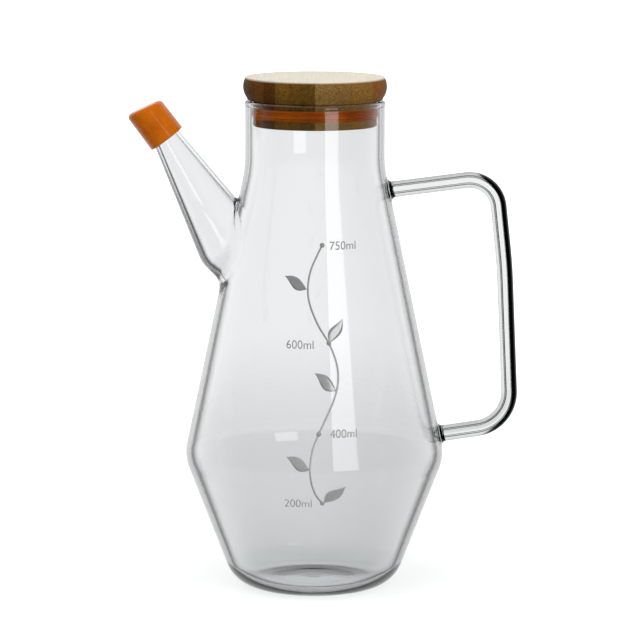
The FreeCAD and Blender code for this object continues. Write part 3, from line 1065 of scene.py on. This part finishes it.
# ---- the table, the light and the camera --------------------------------------
# A plain white table and a pale room.  A soft light as tall as the pot stands in
# front on the right, and a long lens looks along +Y, a little from above.

ROOM_SEEN = 1.0
ROOM_THROUGH = 0.94
ROOM_FRONT = 0.03
ROOM_DIFFUSE = 0.54
ROOM_MIRRORED_FRONT = 0.03
ROOM_MIRRORED_BACK = 0.9
SOFT_LIGHT_PLACE = Vector((0.361, -0.684, 0.212))
SOFT_LIGHT_SIZE = (0.308, 0.385)
SOFT_LIGHT_WATTS = 0.85
OVERHEAD_PLACE = Vector((-0.2, -0.5, 1.5))
OVERHEAD_WATTS = 12
FRONT_RIGHT_PLACE = Vector((0.9, -1.1, 0.7))
FRONT_RIGHT_WATTS = 6.5
TABLE_COLOUR = (0.72, 0.72, 0.72, 1)
TABLE_REACH = 6.0
TABLE_NEAR = 0.10
TABLE_FAR = 0.75
TABLE_NEAR_GLOW = 0.36
LENS = 202.5
CAMERA_TARGET = Vector((0.0022, 0, 0.1089))
CAMERA_DISTANCE = 1.458
CAMERA_PITCH = math.radians(8.43)
CAMERA_ROLL = math.radians(0.134)


def white_table():
    """Matt white board that fades to plain white. Its far part doesn't show through the
    glass, and no part of it shows in the mirror-like skins."""
    material, nodes, links, board = new_material("white_table")
    board.inputs["Base Color"].default_value = TABLE_COLOUR
    board.inputs["Roughness"].default_value = 0.9
    board.inputs["Specular IOR Level"].default_value = 0.0
    light_path = nodes.new("ShaderNodeLightPath").outputs
    coordinates = nodes.new("ShaderNodeTexCoord").outputs["Object"]
    distance = nodes.new("ShaderNodeVectorMath")
    distance.operation = "LENGTH"
    links.new(coordinates, distance.inputs[0])
    far = ranged(nodes, links, distance.outputs["Value"], TABLE_NEAR, TABLE_FAR, smooth=True)
    glow = ranged(nodes, links, far, 0.0, 1.0, TABLE_NEAR_GLOW, 1.0)
    seen = shader_math(nodes, links, "MULTIPLY", light_path["Is Camera Ray"], glow)
    board.inputs["Emission Color"].default_value = (1, 1, 1, 1)
    links.new(seen, board.inputs["Emission Strength"])
    glossy = light_path["Is Glossy Ray"]
    refracted = light_path["Is Transmission Ray"]
    through = shader_math(nodes, links, "MULTIPLY", refracted, far)
    mirrored = shader_math(nodes, links, "SUBTRACT", glossy, refracted, True)
    passing = shader_math(nodes, links, "MAXIMUM", through, mirrored)
    clear = nodes.new("ShaderNodeBsdfTransparent")
    return split_shader(material, nodes, links, passing, board, clear)


def room(scene):
    """White behind the pot, and dim in front of it to the mirror-like skins."""
    world = bpy.data.worlds.new("room")
    scene.world = world
    world.use_nodes = True
    nodes = world.node_tree.nodes
    links = world.node_tree.links
    nodes.clear()
    output = nodes.new("ShaderNodeOutputWorld")
    light_path = nodes.new("ShaderNodeLightPath").outputs
    direction = nodes.new("ShaderNodeTexCoord").outputs["Generated"]
    parts = nodes.new("ShaderNodeSeparateXYZ")
    links.new(direction, parts.inputs["Vector"])

    def chosen(switch, otherwise, value):
        mix = nodes.new("ShaderNodeMix")
        links.new(light_path[switch], mix.inputs["Factor"])
        for socket, source in ((mix.inputs["A"], otherwise), (mix.inputs["B"], value)):
            if isinstance(source, float):
                socket.default_value = source
            else:
                links.new(source, socket)
        return mix.outputs["Result"]

    back = parts.outputs["Y"]
    level = ranged(nodes, links, back, 0.0, 0.6, ROOM_MIRRORED_FRONT, ROOM_MIRRORED_BACK)
    mirrored = chosen("Is Glossy Ray", ROOM_DIFFUSE, level)
    behind = ranged(nodes, links, back, -0.3, 0.6, ROOM_FRONT, ROOM_THROUGH)
    straight = chosen("Glossy Depth", ROOM_THROUGH, behind)
    through = chosen("Is Transmission Ray", mirrored, straight)
    background = nodes.new("ShaderNodeBackground")
    background.inputs["Color"].default_value = (1, 1, 1, 1)
    links.new(chosen("Is Camera Ray", through, ROOM_SEEN), background.inputs["Strength"])
    links.new(background.outputs["Background"], output.inputs["Surface"])


def soft_light(name, place, target, size, watts, mirrored):
    """A rectangular lamp; one that isn't mirrored only lights the table and the pieces."""
    lamp = bpy.data.lights.new(name, "AREA")
    lamp.shape = "RECTANGLE"
    lamp.size = size[0]
    lamp.size_y = size[1]
    lamp.energy = watts
    holder = bpy.data.objects.new(name, lamp)
    bpy.context.scene.collection.objects.link(holder)
    holder.location = place
    holder.rotation_euler = (target - place).to_track_quat("-Z", "Y").to_euler()
    holder.visible_camera = mirrored
    holder.visible_transmission = mirrored
    holder.visible_glossy = mirrored


table_form = bmesh.new()
bmesh.ops.create_grid(table_form, x_segments=1, y_segments=1, size=TABLE_REACH)
table_mesh = bpy.data.meshes.new("table")
table_form.to_mesh(table_mesh)
table_form.free()
table = bpy.data.objects.new("table", table_mesh)
bpy.context.scene.collection.objects.link(table)
table.location.z = -0.05 * MM
table_mesh.materials.append(white_table())

room(bpy.context.scene)
pot_middle = Vector((0, 0, 0.12))
level_middle = Vector((0, 0, SOFT_LIGHT_PLACE.z))
soft_light("tall_soft_light", SOFT_LIGHT_PLACE, level_middle, SOFT_LIGHT_SIZE, SOFT_LIGHT_WATTS, True)
soft_light("overhead", OVERHEAD_PLACE, pot_middle, (1.0, 1.0), OVERHEAD_WATTS, False)
soft_light("front_right", FRONT_RIGHT_PLACE, pot_middle, (0.7, 0.7), FRONT_RIGHT_WATTS, False)

camera_data = bpy.data.cameras.new("camera")
camera_data.lens = LENS
camera_data.sensor_width = 36
camera = bpy.data.objects.new("camera", camera_data)
bpy.context.scene.collection.objects.link(camera)
back_off = Vector((0, -math.cos(CAMERA_PITCH), math.sin(CAMERA_PITCH))) * CAMERA_DISTANCE
look = Matrix.Rotation(math.pi / 2 - CAMERA_PITCH, 4, "X") @ Matrix.Rotation(CAMERA_ROLL, 4, "Z")
camera.matrix_world = Matrix.Translation(CAMERA_TARGET + back_off) @ look
bpy.context.scene.camera = camera
bpy.context.scene.view_settings.view_transform = "Standard"
